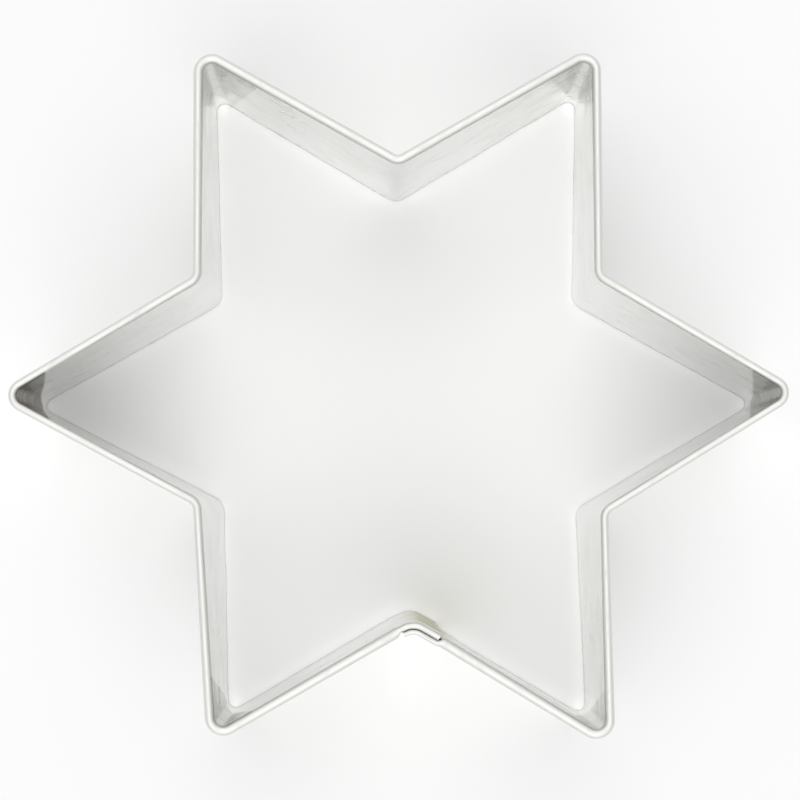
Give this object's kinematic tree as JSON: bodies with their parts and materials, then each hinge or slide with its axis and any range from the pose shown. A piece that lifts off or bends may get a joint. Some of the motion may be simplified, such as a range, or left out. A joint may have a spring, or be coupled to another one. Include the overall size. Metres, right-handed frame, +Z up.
{
  "type": "cookie cutter",
  "caption": "Six-pointed star cookie cutter bent from one stainless steel strip, with a folded safe rim, a plain cutting edge and a spot-welded lap.",
  "frame": {"origin": "under the middle of the star, level with the cutting edge that it stands on", "axes": "+Z up from the cutting edge to the folded rim; +X through a point of the star, along its longest extent; the lapped seam is at the notch on the -Y side"},
  "size_m": [0.0799, 0.0696, 0.024],
  "materials": {
    "strip_steel": "bright rolled stainless steel, faint grain along the strip",
    "weld_steel": "matt spot-weld mark, a little straw-coloured from the heat"
  },
  "bodies": {
    "root": {"cutter_strip": "strip_steel", "upper_spot_weld": "weld_steel", "middle_spot_weld": "weld_steel", "lower_spot_weld": "weld_steel"}
  },
  "joints": []
}
